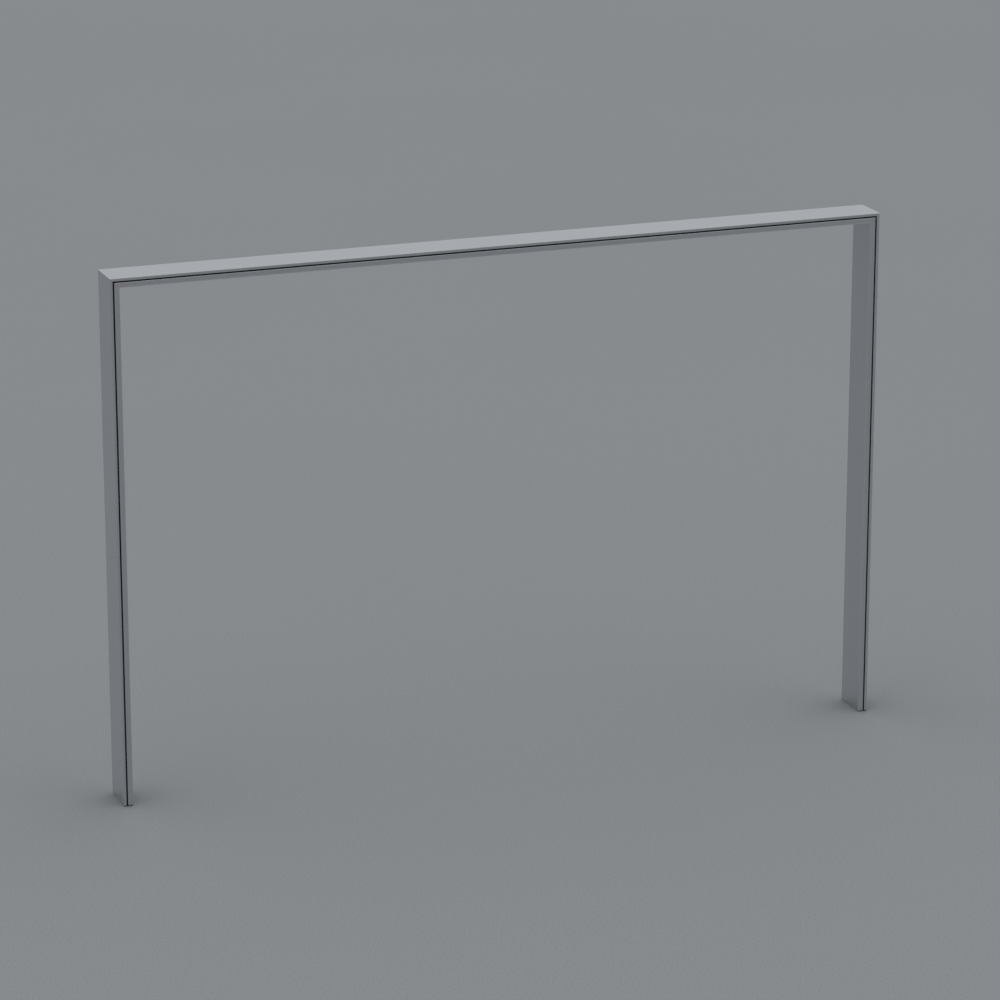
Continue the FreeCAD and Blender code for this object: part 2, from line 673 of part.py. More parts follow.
def foot_pad():
    edge_v = HALF_D - PAD_INSET_V
    pad = block(PAD_INSET_U, THICK - PAD_INSET_U, -edge_v, edge_v, 0, PAD_HEIGHT)
    holes = [rod_w(ENTRY_U, 0, -OVER, PAD_HEIGHT + OVER, GROMMET_FLANGE_R)]
    for v in (-1, 1):
        holes.append(rod_w(FIX_U, v * ANCHOR_V, -OVER, PAD_HEIGHT + OVER, ANCHOR_PAD_R))
        holes.append(rod_w(FIX_U, v * JACK_V, -OVER, PAD_HEIGHT + OVER, DISC_R + DISC_CLEAR))
    return cut(pad, holes)


def entry_plug():
    """Flanged plug that closes the cable hole of the floor plate."""
    body = rod_w(ENTRY_U, 0, PAD_HEIGHT, BASE_TOP, ENTRY_HOLE_R)
    return union([body, rod_w(ENTRY_U, 0, BASE_TOP, BASE_TOP + GROMMET_FLANGE, GROMMET_FLANGE_R)])


def jack_disc(v):
    disc = rod_w(FIX_U, v, DISC_Z0, DISC_Z1, DISC_R)
    return disc.cut(rod_w(FIX_U, v, JACK_TIP_Z - JACK_FIT, DISC_Z1 + OVER, JACK_TIP_R + JACK_FIT))


def jack_stem(v):
    return union([
        rod_w(FIX_U, v, JACK_TIP_Z, JACK_SHOULDER_Z, JACK_TIP_R),
        rod_w(FIX_U, v, JACK_SHOULDER_Z, JACK_HEX_Z0, JACK_R),
        hexagon_w(FIX_U, v, JACK_HEX_Z0, JACK_HEX_Z1, JACK_HEX),
    ])


def make_base():
    for side, place in (("left", to_left), ("right", to_right)):
        keep("base_bracket_" + side, [place(base_bracket())])
        keep("foot_pad_" + side, [place(foot_pad())])
        for end, v in (("front", -JACK_V), ("rear", JACK_V)):
            keep("jack_disc_%s_%s" % (side, end), [place(jack_disc(v))])
            keep("jack_stem_%s_%s" % (side, end), [place(jack_stem(v))])
    bore = rod_w(ENTRY_U, 0, 0, BASE_TOP + GROMMET_FLANGE + OVER, ENTRY_R)
    keep("cable_grommet", [to_left(entry_plug().cut(bore))])
    keep("blanking_plug", [to_right(entry_plug())])


# ---------------------------------------------------------------- detection loop

def make_loop():
    """One cable: left leg front, beam front, down and across the right leg, back along the rear."""
    front = [
        left_point(LOOP_U, -LOOP_END_V, TUNER_W0),
        left_point(LOOP_U, -LOOP_END_V, LOOP_FOOT),
        left_point(LOOP_U, -LOOP_V, LOOP_FOOT),
        left_point(LOOP_U, -LOOP_V, HEIGHT - LOOP_U),
        right_point(LOOP_U, -LOOP_V, HEIGHT - LOOP_U),
        right_point(LOOP_U, -LOOP_V, LOOP_FOOT),
    ]
    rear = [V(p.x, -p.y, p.z) for p in reversed(front)]
    bends = [LOOP_FOOT_R, LOOP_FOOT_R, LOOP_CORNER_R, LOOP_CORNER_R, LOOP_FOOT_R]
    keep("detection_loop", [tube(front + rear, LOOP_R, bends + bends[::-1])])


# ---------------------------------------------------------------- electronics, in the left leg's frame

def controller_tray():
    parts = [block(TRAY_U0, TRAY_U1, -TRAY_HALF_V, TRAY_HALF_V, TRAY_W0, TRAY_W1)]
    parts += both_v(block(TRAY_U0 - TRAY_WALL, TRAY_U0, -TRAY_HALF_V, -TRAY_HALF_V + SHEET, TRAY_W0, TRAY_W1))
    low, high = TRAY_RUNGS
    parts += both_v(block(TRAY_U0, TRAY_U1, EAR_V0, EAR_V1, low - EAR_REACH, TRAY_W0))
    parts += both_v(block(TRAY_U0, TRAY_U1, EAR_V0, EAR_V1, TRAY_W1, high + EAR_REACH))
    holes = [rod_u(v, w, TRAY_U0 - OVER, TRAY_U1 + OVER, RUNG_HOLE_R) for v, w in tray_screw_places()]
    return cut(union(parts), holes)


def tray_screw_places():
    return [(v, w) for v in (-RUNG_HOLE_V, RUNG_HOLE_V) for w in TRAY_RUNGS]


def tray_screw(v, w):
    head_u = TRAY_U0 - TRAY_HEAD
    head = rod_u(v, w, head_u, TRAY_U0, TRAY_HEAD_R)
    slot = centred(head_u - OVER, head_u + TRAY_SLOT, v, w, TRAY_SLOT, 3 * TRAY_HEAD_R)
    return union([head.cut(slot), rod_u(v, w, TRAY_U0, TRAY_SCREW_U1, TRAY_SCREW_R)])


def standoff(v, w, u0, u1):
    return hexagon_u(v, w, u0, u1, STANDOFF_HEX)


def power_supply():
    """Metal-cased module with vent slots and a row of terminals."""
    case = block(SUPPLY_U0, TRAY_U0, KIT_V0, KIT_V1, SUPPLY_W0, SUPPLY_W1 - SUPPLY_ROW)
    case = rounded(case, [(SUPPLY_U0, KIT_V0), (SUPPLY_U0, KIT_V1)], SUPPLY_EDGE)
    row_u = SUPPLY_U0 + SUPPLY_STEP
    row_w = SUPPLY_W1 - SUPPLY_ROW / 2
    row = block(row_u, TRAY_U0, KIT_V0, KIT_V1, SUPPLY_W1 - SUPPLY_ROW, SUPPLY_W1)
    middle = (KIT_V0 + KIT_V1) / 2
    slots = [centred(SUPPLY_U0 - OVER, SUPPLY_U0 + OVER, middle, w, VENT_LONG, VENT_WIDE)
             for w in spread(VENT_FIRST, VENT_LAST, VENT_PITCH)]
    wells = [rod_u(v, row_w, row_u - OVER, row_u + WELL_DEEP, SUPPLY_WELL_R)
             for v in spread(KIT_V0 + SUPPLY_ROW / 2, KIT_V1 - SUPPLY_ROW / 2, SUPPLY_WELL_PITCH)]
    return cut(union([case, row]), slots + wells)


def heat_sink():
    """Finned block on the controller board."""
    base_u = BOARD_U0 - SINK_BASE
    pitch = (SINK_V1 - SINK_V0 - SINK_FIN) / (SINK_FINS - 1)
    edges = [SINK_V0 + i * pitch for i in range(SINK_FINS)]
    parts = [block(base_u, BOARD_U0, SINK_V0, SINK_V1, SINK_W0, SINK_W1)]
    parts += [block(SINK_U0, base_u, v, v + SINK_FIN, SINK_W0, SINK_W1) for v in edges]
    return union(parts)


def terminal_block(u0, u1, v, w, dv, dw):
    """Screw terminal with two screw wells facing the cover."""
    body = centred(u0, u1, v, w, dv, dw)
    step_v, step_w = (dv / 4, 0) if dv >= dw else (0, dw / 4)
    wells = [rod_u(v + s * step_v, w + s * step_w, u0 - OVER, u0 + WELL_DEEP, WELL_R) for s in (-1, 1)]
    return cut(body, wells)


def make_tray():
    keep("controller_tray", [controller_tray()])
    keep("tray_screws", [tray_screw(v, w) for v, w in tray_screw_places()])
    keep("power_supply", [power_supply()])


def make_board():
    """Controller board with its chips, heat sink, capacitors, terminals and status lights."""
    back = BOARD_U0 + BOARD
    hole_vs = (KIT_V0 + STANDOFF_INSET, KIT_V1 - STANDOFF_INSET)
    hole_ws = (BOARD_W0 + STANDOFF_INSET, BOARD_W1 - STANDOFF_INSET)
    chip_u = BOARD_U0 - CHIP_HIGH
    keep("controller_board", [block(BOARD_U0, back, KIT_V0, KIT_V1, BOARD_W0, BOARD_W1)])
    keep("board_standoffs", [standoff(v, w, back, TRAY_U0) for v in hole_vs for w in hole_ws])
    keep("heat_sink", [heat_sink()])
    keep("chips", [centred(chip_u, BOARD_U0, PROCESSOR_V, PROCESSOR_W, PROCESSOR_SIZE, PROCESSOR_SIZE)])
    keep("chips", [centred(chip_u, BOARD_U0, DRIVER_V, w, DRIVER_WIDE, DRIVER_LONG) for w in DRIVER_WS])
    keep("chips", [centred(chip_u, BOARD_U0, REGULATOR_V, REGULATOR_W, REGULATOR_SIZE, REGULATOR_SIZE)])
    keep("capacitors", [rod_u(CAN_V, w, CAN_U0, BOARD_U0, CAN_R) for w in (CAN_FIRST, CAN_LAST)])
    keep("terminal_blocks", [terminal_block(TERMINAL_U0, BOARD_U0, SIDE_V, w, TERMINAL_SHORT, TERMINAL_LONG)
                             for w in (SIGNAL_W, ALARM_W)])
    keep("terminal_blocks", [terminal_block(TERMINAL_U0, BOARD_U0, LEAD_V, BOARD_W0 + TERMINAL_EDGE,
                                            TERMINAL_LONG, TERMINAL_SHORT)])
    keep("status_lights", [rod_u(v, LIGHT_W, LIGHT_U0, BOARD_U0, LIGHT_R)
                           for v in spread(LIGHT_V0, LIGHT_V1, LIGHT_PITCH)])


def bushing(v, w):
    """Round housing through the service panel, with a rim."""
    return union([rod_u(v, w, PANEL_U0, BARREL_END, ROUND_HOLE_R - HOLE_CLEAR),
                  rod_u(v, w, BEZEL_U, PANEL_U0, ROUND_HOLE_R + RIM)])


def pivot_rod(length, radius):
    """Rod along v through the rocker's pivot."""
    return Part.makeCylinder(radius, length, V(ROCKER_U, SWITCH_V - length / 2, SWITCH_W), V(0, 1, 0))


def make_switch():
    """Power switch: a hollow body with a pivot pin, and its rocker tilted to off."""
    wide, tall = SWITCH_WIDE - 2 * HOLE_CLEAR, SWITCH_TALL - 2 * HOLE_CLEAR
    inner_wide, inner_tall = wide - 2 * SWITCH_SIDE, tall - 2 * SWITCH_CAP
    body = union([centred(BEZEL_U, PANEL_U0, SWITCH_V, SWITCH_W, wide + 2 * RIM, tall + 2 * RIM),
                  centred(PANEL_U0, SWITCH_END, SWITCH_V, SWITCH_W, wide, tall)])
    body = body.cut(centred(BEZEL_U - OVER, SWITCH_FLOOR, SWITCH_V, SWITCH_W, inner_wide, inner_tall))
    keep("power_switch_body", [union([body, pivot_rod(inner_wide + SWITCH_SIDE, PIVOT_R)])])

    flank = ROCKER_REACH - ROCKER_TAPER
    side = [(ROCKER_TIP_U, ROCKER_REACH), (ROCKER_FLANK_U, flank), (ROCKER_KEEL_U, ROCKER_KEEL)]
    outline = [(ROCKER_DISH_U, 0)] + side + [(u, -w) for u, w in reversed(side)]
    rocker_wide = inner_wide - 2 * ROCKER_GAP
    edge_v = SWITCH_V - rocker_wide / 2
    rocker = prism([V(u, edge_v, SWITCH_W + w) for u, w in outline], V(0, rocker_wide, 0))
    rocker = rocker.cut(pivot_rod(wide, PIVOT_R + PIVOT_FIT))
    rocker.rotate(V(ROCKER_U, SWITCH_V, SWITCH_W), V(0, 1, 0), ROCKER_TILT)
    keep("power_rocker", [rocker])


def make_panel():
    """Service panel: power switch, fuse and service button, all worked from the cover side."""
    back = PANEL_U0 + SHEET
    plate = block(PANEL_U0, back, KIT_V0, KIT_V1, PANEL_W0, PANEL_W1)
    legs = [block(back, TRAY_U0, KIT_V0, KIT_V1, w, w + SHEET) for w in (PANEL_W0, PANEL_W1 - SHEET)]
    holes = [centred(PANEL_U0 - OVER, back + OVER, SWITCH_V, SWITCH_W, SWITCH_WIDE, SWITCH_TALL)]
    holes += [rod_u(v, w, PANEL_U0 - OVER, back + OVER, ROUND_HOLE_R)
              for v, w in ((FUSE_V, FUSE_W), (BUTTON_V, BUTTON_W))]
    keep("service_panel", [cut(union([plate] + legs), holes)])
    make_switch()

    cap = rod_u(FUSE_V, FUSE_W, FUSE_CAP_U, BEZEL_U, ROUND_HOLE_R - RIM / 2)
    slot_end = FUSE_CAP_U + FUSE_SLOT_DEEP
    slot = centred(FUSE_CAP_U - OVER, slot_end, FUSE_V, FUSE_W, FUSE_SLOT, 3 * ROUND_HOLE_R)
    keep("fuse_holder", [union([bushing(FUSE_V, FUSE_W), cap]).cut(slot)])

    well = rod_u(BUTTON_V, BUTTON_W, BEZEL_U - OVER, BUTTON_FLOOR, BUTTON_R + PIVOT_FIT)
    keep("button_housing", [bushing(BUTTON_V, BUTTON_W).cut(well)])
    button = rod_u(BUTTON_V, BUTTON_W, BUTTON_U0, BUTTON_U1, BUTTON_R)
    rim = [e for e in button.Edges if e.BoundBox.XMax < BUTTON_U0 + TOLERANCE]
    keep("service_button", [button.makeFillet(BUTTON_EDGE, rim)])


def trimmer_body(v):
    top_u = TUNER_U0 - TRIMMER_SIZE
    body = centred(top_u, TUNER_U0, v, TRIMMER_W, TRIMMER_SIZE, TRIMMER_SIZE)
    return body.cut(rod_u(v, TRIMMER_W, top_u - OVER, TUNER_U0 - ROTOR_SEAT, ROTOR_R + ROTOR_FIT))


def trimmer_rotor(v):
    top_u = TUNER_U0 - TRIMMER_SIZE - ROTOR_PROUD
    rotor = rod_u(v, TRIMMER_W, top_u, TUNER_U0 - ROTOR_SEAT - ROTOR_LIFT, ROTOR_R)
    return rotor.cut(centred(top_u - OVER, top_u + ROTOR_SLOT_DEEP, v, TRIMMER_W, ROTOR_SLOT, 3 * ROTOR_R))


def make_tuner():
    """Loop tuning board on the base bracket."""
    back = TUNER_U0 + BOARD
    low_w, high_w = TUNER_W0 + TERMINAL_EDGE, TUNER_W1 - TERMINAL_EDGE
    keep("tuning_board", [block(TUNER_U0, back, -TUNER_HALF_V, TUNER_HALF_V, TUNER_W0, TUNER_W1)])
    keep("board_standoffs", [standoff(v, w, back, RAIL_U1)
                             for v in (-TUNER_HOLE_V, TUNER_HOLE_V) for w in TUNER_HOLE_WS])
    loop_terminals = [terminal_block(LOOP_TERMINAL_U0, TUNER_U0, v, low_w, LOOP_TERMINAL_WIDE, TERMINAL_LONG)
                      for v in (-LOOP_END_V, LOOP_END_V)]
    wire_terminal = terminal_block(TERMINAL_U0, TUNER_U0, WIRE_V, high_w, TERMINAL_SHORT, TERMINAL_LONG)
    keep("terminal_blocks", loop_terminals + [wire_terminal])
    keep("capacitors", [centred(FILM_U0, TUNER_U0, FILM_V, w, FILM_WIDE, FILM_THICK)
                        for w in spread(FILM_FIRST, FILM_LAST, FILM_PITCH)])
    keep("chips", [centred(TUNER_U0 - CHIP_HIGH, TUNER_U0, v, TUNER_CHIP_W, TUNER_CHIP_WIDE, TUNER_CHIP_TALL)
                   for v in TUNER_CHIP_VS])
    keep("trimmer_bodies", [trimmer_body(v) for v in TRIMMER_VS])
    for end, v in zip(("front", "rear"), TRIMMER_VS):
        keep("trimmer_rotor_" + end, [trimmer_rotor(v)])


def make_tamper():
    """Reed switch on the front rail, and its magnet on the cover."""
    switch = centred(REED_U0, RAIL_U0, TAMPER_V, TAMPER_W, REED_WIDE, REED_LONG)
    wells = [rod_u(TAMPER_V, w, REED_U0 - OVER, REED_U0 + REED_HOLE_DEEP, REED_HOLE_R) for w in REED_HOLE_WS]
    keep("tamper_switch", [cut(switch, wells)])
    keep("tamper_magnet", [centred(WALL, MAGNET_U1, TAMPER_V, TAMPER_W, MAGNET_WIDE, MAGNET_LONG)])


def make_electronics():
    make_tray()
    make_board()
    make_panel()
    make_tuner()
    make_tamper()


# ---------------------------------------------------------------- sounder and wiring

def sounder():
    """Round sounder with a grille of drilled rings, below the beam's cover."""
    body = rod_u(0, SOUNDER_W, RAIL_U0, RUNG_WEB_U0, SOUNDER_R)
    holes = []
    for ring in range(1, GRILLE_RINGS + 1):
        count = ring * GRILLE_FIRST_RING
        for i in range(count):
            turn = 2 * math.pi * i / count
            v = ring * GRILLE_PITCH * math.cos(turn)
            w = SOUNDER_W + ring * GRILLE_PITCH * math.sin(turn)
            holes.append(rod_u(v, w, RAIL_U0 - OVER, RAIL_U0 + GRILLE_DEEP, GRILLE_HOLE_R))
    return cut(body, holes)


def make_wiring():
    keep("sounder", [to_beam(sounder())])
    signal = [left_point(WIRE_U, WIRE_V, TUNER_W1), left_point(WIRE_U, WIRE_V, SIGNAL_W),
              left_point(WIRE_U, KIT_V1, SIGNAL_W)]
    alarm = [left_point(WIRE_U, KIT_V1, ALARM_W), left_point(WIRE_U, WIRE_V, ALARM_W),
             left_point(WIRE_U, WIRE_V, HEIGHT - WIRE_U), beam_point(WIRE_U, WIRE_V, SOUNDER_W),
             beam_point(WIRE_U, SOUNDER_R, SOUNDER_W)]
    lead = [left_point(LEAD_U, LEAD_V, SUPPLY_W1),
            left_point(LEAD_U, LEAD_V, BOARD_W0 + TERMINAL_EDGE - TERMINAL_SHORT / 2)]
    keep("wiring", [tube(signal, WIRE_R, [WIRE_TURN_R]),
                    tube(alarm, WIRE_R, [WIRE_TURN_R, WIRE_CORNER_R, WIRE_TURN_R]),
                    tube(lead, LEAD_R, [])])
    leg_places = spread(WIRE_CLIP_FIRST, WIRE_CLIP_LAST, WIRE_CLIP_PITCH)
    beam_places = spread(WIRE_CLIP_BEAM_FIRST, WIRE_CLIP_BEAM_LAST, WIRE_CLIP_BEAM_PITCH)
    beside_tray = [w for w in leg_places if TRAY_W0 < w < TRAY_W1]
    keep("cable_saddles", [to_left(wire_saddle(w)) for w in leg_places if w not in beside_tray])
    keep("cable_saddles", [to_beam(wire_saddle(w)) for w in beam_places])


# ---------------------------------------------------------------- build

make_electronics()
for name in nodes:
    nodes[name] = [to_left(s) for s in nodes[name]]
make_shells()
make_frame()
make_base()
make_loop()
make_wiring()

os.makedirs("parts", exist_ok=True)
for name, shapes in nodes.items():
    shape = shapes[0] if len(shapes) == 1 else Part.makeCompound(shapes)
    shape.exportStep("parts/%s.step" % name)
print(len(nodes), "nodes")
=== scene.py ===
"""Visual model of the walk-through security gate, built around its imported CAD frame."""
import json
import math
import random
import bmesh
import bpy
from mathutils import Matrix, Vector


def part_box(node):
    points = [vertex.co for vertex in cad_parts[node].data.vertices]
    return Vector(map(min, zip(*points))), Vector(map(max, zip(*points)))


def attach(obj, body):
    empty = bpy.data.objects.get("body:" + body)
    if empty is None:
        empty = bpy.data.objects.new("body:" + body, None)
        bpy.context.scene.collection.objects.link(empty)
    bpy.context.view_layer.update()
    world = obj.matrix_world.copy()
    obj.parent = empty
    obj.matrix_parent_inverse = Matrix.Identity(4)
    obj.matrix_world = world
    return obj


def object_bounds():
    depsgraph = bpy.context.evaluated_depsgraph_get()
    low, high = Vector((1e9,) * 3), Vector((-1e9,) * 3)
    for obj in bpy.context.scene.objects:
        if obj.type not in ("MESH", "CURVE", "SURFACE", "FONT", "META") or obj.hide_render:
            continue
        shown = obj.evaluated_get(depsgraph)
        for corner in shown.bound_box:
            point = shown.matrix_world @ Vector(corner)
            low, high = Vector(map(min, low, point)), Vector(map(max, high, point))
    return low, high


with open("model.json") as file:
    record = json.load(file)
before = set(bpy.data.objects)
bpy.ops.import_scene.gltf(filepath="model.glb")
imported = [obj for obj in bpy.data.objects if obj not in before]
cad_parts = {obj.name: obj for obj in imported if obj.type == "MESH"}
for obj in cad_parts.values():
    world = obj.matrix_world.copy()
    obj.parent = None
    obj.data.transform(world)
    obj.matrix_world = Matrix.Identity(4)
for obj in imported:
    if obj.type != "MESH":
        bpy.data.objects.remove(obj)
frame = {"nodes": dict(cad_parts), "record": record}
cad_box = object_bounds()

NODES = frame["nodes"]

# ---- studio ----
# The camera's place, angles and lens come from a perspective fit of the gate's corners in the photograph.
CAMERA_PLACE = (-5.8396, -15.5931, 6.0915)     # in metres
CAMERA_AZIMUTH = -20.533     # in degrees, like the elevation
CAMERA_ELEVATION = 16.685
CAMERA_LENS = 151.48         # in millimetres
CAMERA_REACH = 400.0         # in metres
DOME = (0.546, 0.570, 0.588)           # the same light from all round
SOFTBOX_POWER = 0.54     # light from straight above, in watts per square metre of floor
SOFTBOX_ANGLE = 80.0     # how wide the light looks from the floor, in degrees
FLOOR_COLOUR = (0.364, 0.375, 0.385)
FLOOR_CLOUD = 0.985          # cloudy patches, as a share of the floor's colour
FLOOR_GRAIN = 0.86           # dark grains of its texture, likewise
FLOOR_HALF = 120.0           # half the floor's side, in metres


# ---------------------------------------------------------------- node helpers

# How far a bevelled normal agrees with the true one where an edge begins to show, and where it shows fully.
EDGE_NONE, EDGE_FULL = 0.995, 0.75
EDGE_SAMPLES = 4
# The Mix node's sockets by number, because each data type has its own A, B and Result.
VECTOR_A, VECTOR_B, VECTOR_RESULT = 4, 5, 1
COLOUR_A, COLOUR_B, COLOUR_RESULT = 6, 7, 2


class Shade:
    """A Principled material whose nodes read object coordinates, in metres."""

    def __init__(self, name, colour, roughness, metallic=0.0, **sockets):
        self.material = bpy.data.materials.new(name)
        self.material.use_nodes = True
        self.tree = self.material.node_tree
        self.shader = self.tree.nodes["Principled BSDF"]
        self.material.diffuse_color = tuple(colour) + (1.0,)
        self.shader.inputs["Base Color"].default_value = tuple(colour) + (1.0,)
        self.shader.inputs["Roughness"].default_value = roughness
        self.shader.inputs["Metallic"].default_value = metallic
        for socket, value in sockets.items():
            self.shader.inputs[socket.replace("_", " ")].default_value = value
        self.place = self.node("ShaderNodeTexCoord").outputs["Object"]
        self.colour = None
        self.rough = None
        self.normal = None

    def node(self, kind, inputs=None, **attributes):
        """Adds a node, with its attributes set before its inputs, which can depend on them."""
        made = self.tree.nodes.new(kind)
        for key, value in attributes.items():
            setattr(made, key, value)
        for key, value in (inputs or {}).items():
            self.feed(made.inputs[key], value)
        return made

    def feed(self, socket, value):
        """Links another node's output to a socket, or sets the socket's own value."""
        if isinstance(value, bpy.types.NodeSocket):
            self.tree.links.new(value, socket)
        elif isinstance(value, (tuple, list)) and socket.type == "RGBA" and len(value) == 3:
            socket.default_value = tuple(value) + (1.0,)
        else:
            socket.default_value = value

    def stretched(self, scale):
        """Object coordinates scaled per axis, so that a noise can run along one of them."""
        return self.node("ShaderNodeMapping", {"Vector": self.place, "Scale": scale}).outputs["Vector"]

    def noise(self, scale, detail, roughness, place=None):
        """Noise from 0 to 1; scale counts its features per metre."""
        made = self.node("ShaderNodeTexNoise", {
            "Vector": self.place if place is None else place, "Scale": scale, "Detail": detail,
            "Roughness": roughness})
        return made.outputs["Fac"]

    def cells(self, scale, output="Distance", place=None):
        """Random cells: the distance to each one's point, or with output "Color" a colour for each."""
        made = self.node("ShaderNodeTexVoronoi", {
            "Vector": self.place if place is None else place, "Scale": scale})
        return made.outputs[output]

    def span(self, value, low, high, to_low, to_high):
        """Maps low..high to to_low..to_high, clamped and smooth."""
        made = self.node("ShaderNodeMapRange", {
            "Value": value, "From Min": low, "From Max": high, "To Min": to_low, "To Max": to_high},
            interpolation_type="SMOOTHSTEP")
        return made.outputs["Result"]

    def math(self, operation, a, b=0.0):
        made = self.node("ShaderNodeMath", operation=operation)
        self.feed(made.inputs[0], a)
        self.feed(made.inputs[1], b)
        return made.outputs[0]

    def blend(self, factor, a, b):
        made = self.node("ShaderNodeMix", data_type="RGBA")
        self.feed(made.inputs["Factor"], factor)
        self.feed(made.inputs[COLOUR_A], a)
        self.feed(made.inputs[COLOUR_B], b)
        return made.outputs[COLOUR_RESULT]

    def edges(self, radius):
        """1 on convex and concave edges within radius, 0 on flat faces."""
        rounded = self.node("ShaderNodeBevel", {"Radius": radius}, samples=EDGE_SAMPLES).outputs["Normal"]
        true = self.node("ShaderNodeNewGeometry").outputs["Normal"]
        likeness = self.node("ShaderNodeVectorMath", {0: rounded, 1: true}, operation="DOT_PRODUCT")
        return self.span(likeness.outputs["Value"], EDGE_NONE, EDGE_FULL, 0.0, 1.0)

    def paint(self, factor, other):
        """Mixes another colour over what the surface has so far."""
        base = self.colour
        if base is None:
            base = tuple(self.shader.inputs["Base Color"].default_value)[:3]
        self.colour = self.blend(factor, base, other)

    def vary_roughness(self, value, low, high, amount):
        """Shifts the roughness from -amount / 2 to amount / 2 as value goes from low to high."""
        base = self.rough
        if base is None:
            base = self.shader.inputs["Roughness"].default_value
        self.rough = self.math("ADD", base, self.span(value, low, high, -amount / 2, amount / 2))

    def bump(self, height, distance, strength=1.0):
        """Raises the surface by height x distance, in metres."""
        made = self.node("ShaderNodeBump", {"Height": height, "Distance": distance, "Strength": strength})
        if self.normal is not None:
            self.feed(made.inputs["Normal"], self.normal)
        self.normal = made.outputs["Normal"]

    def done(self):
        """Links what was built to the shader and returns the material."""
        found = {"Base Color": self.colour, "Roughness": self.rough, "Normal": self.normal}
        for socket, value in found.items():
            if value is not None:
                self.tree.links.new(value, self.shader.inputs[socket])
        return self.material


# ---------------------------------------------------------------- materials, one per slot
# Colours are linear RGB. A noise takes features per metre, detail and roughness; a span takes a value,
# the range it is read over and the range it is mapped to.

BRUSH_STRETCH = 0.012        # coordinates along the member shrink to this, so the brushing marks run long
HALF_SPAN = cad_box[1][0]
HEIGHT = cad_box[1][2]


def tinted(colour, factor, lift=0.0):
    """The colour times a factor, plus a lift, and no higher than 1."""
    return tuple(min(1.0, c * factor + lift) for c in colour)


def brushed_place(m):
    """Object coordinates squeezed along the member: up the legs, and across on the beam."""
    parts = m.node("ShaderNodeSeparateXYZ", {"Vector": m.place})
    from_end = m.math("SUBTRACT", HALF_SPAN, m.math("ABSOLUTE", parts.outputs["X"]))
    from_top = m.math("SUBTRACT", HEIGHT, parts.outputs["Z"])
    mix = m.node("ShaderNodeMix", data_type="VECTOR")
    m.feed(mix.inputs["Factor"], m.math("LESS_THAN", from_top, from_end))
    m.feed(mix.inputs[VECTOR_A], m.stretched((1.0, 1.0, BRUSH_STRETCH)))
    m.feed(mix.inputs[VECTOR_B], m.stretched((BRUSH_STRETCH, 1.0, 1.0)))
    return mix.outputs[VECTOR_RESULT]


def satin_aluminium():
    """Anodised extrusion: brushed along the member and mitred at the corners, with a painted highlight
    along the edges, faint clouding and a slight waviness."""
    m = Shade("satin_aluminium", (0.575, 0.571, 0.589), 0.16, 0.85)
    along = brushed_place(m)
    fine = m.noise(900.0, 3.0, 0.65, along)
    streak = m.noise(90.0, 4.0, 0.6, along)
    cloud = m.noise(1.6, 3.0, 0.55)
    m.paint(m.span(cloud, 0.3, 0.7, 0.0, 0.5), (0.550, 0.549, 0.573))
    m.paint(m.span(streak, 0.35, 0.75, 0.0, 0.35), (0.600, 0.597, 0.611))
    # painted highlight: a near-white band along every edge, standing in for the light the rounded edges
    # catch
    m.paint(m.edges(0.0022), (0.955, 0.960, 0.965))
    m.vary_roughness(fine, 0.3, 0.7, 0.05)
    m.vary_roughness(cloud, 0.3, 0.7, 0.04)
    m.bump(fine, 0.000004)
    m.bump(m.noise(4.0, 2.0, 0.5), 0.0006, 0.25)
    return m.done()


def moulded(name, colour, roughness, grain=2500.0, depth=0.00002, **sockets):
    """Moulded plastic or rubber: fine grain, faint clouding, paler worn edges."""
    m = Shade(name, colour, roughness, **sockets)
    grains = m.noise(grain, 2.0, 0.6)
    cloud = m.noise(18.0, 4.0, 0.6)
    m.paint(m.span(cloud, 0.35, 0.75, 0.0, 0.35), tinted(colour, 1.35))
    m.paint(m.math("MULTIPLY", m.edges(0.0006), 0.6), tinted(colour, 2.2))
    m.vary_roughness(cloud, 0.3, 0.7, 0.12)
    m.bump(grains, depth)
    return m.done()


def zinc_steel():
    """Zinc plate: faint crystal spangle, dull patches and brighter edges."""
    m = Shade("zinc_steel", (0.56, 0.58, 0.60), 0.34, 1.0)
    spangle = m.cells(140.0, output="Color")
    value = m.node("ShaderNodeSeparateColor", {"Color": spangle}).outputs["Red"]
    m.paint(m.math("MULTIPLY", value, 0.5), (0.66, 0.68, 0.70))
    m.paint(m.span(m.noise(9.0, 5.0, 0.65), 0.5, 0.8, 0.0, 0.5), (0.44, 0.45, 0.47))
    m.paint(m.edges(0.0008), (0.74, 0.75, 0.76))
    m.vary_roughness(value, 0.0, 1.0, 0.14)
    m.bump(value, 0.000006)
    return m.done()


def plain_metal(name, colour, roughness, worn):
    """Turned or rolled metal with fine marks and worn edges."""
    m = Shade(name, colour, roughness, 1.0)
    marks = m.noise(1800.0, 3.0, 0.6, m.stretched((1.0, 1.0, 0.1)))
    m.paint(m.span(m.noise(60.0, 4.0, 0.6), 0.4, 0.8, 0.0, 0.5), tinted(colour, 0.8))
    m.paint(m.edges(0.0005), worn)
    m.vary_roughness(marks, 0.3, 0.7, 0.14)
    m.bump(marks, 0.000004)
    return m.done()


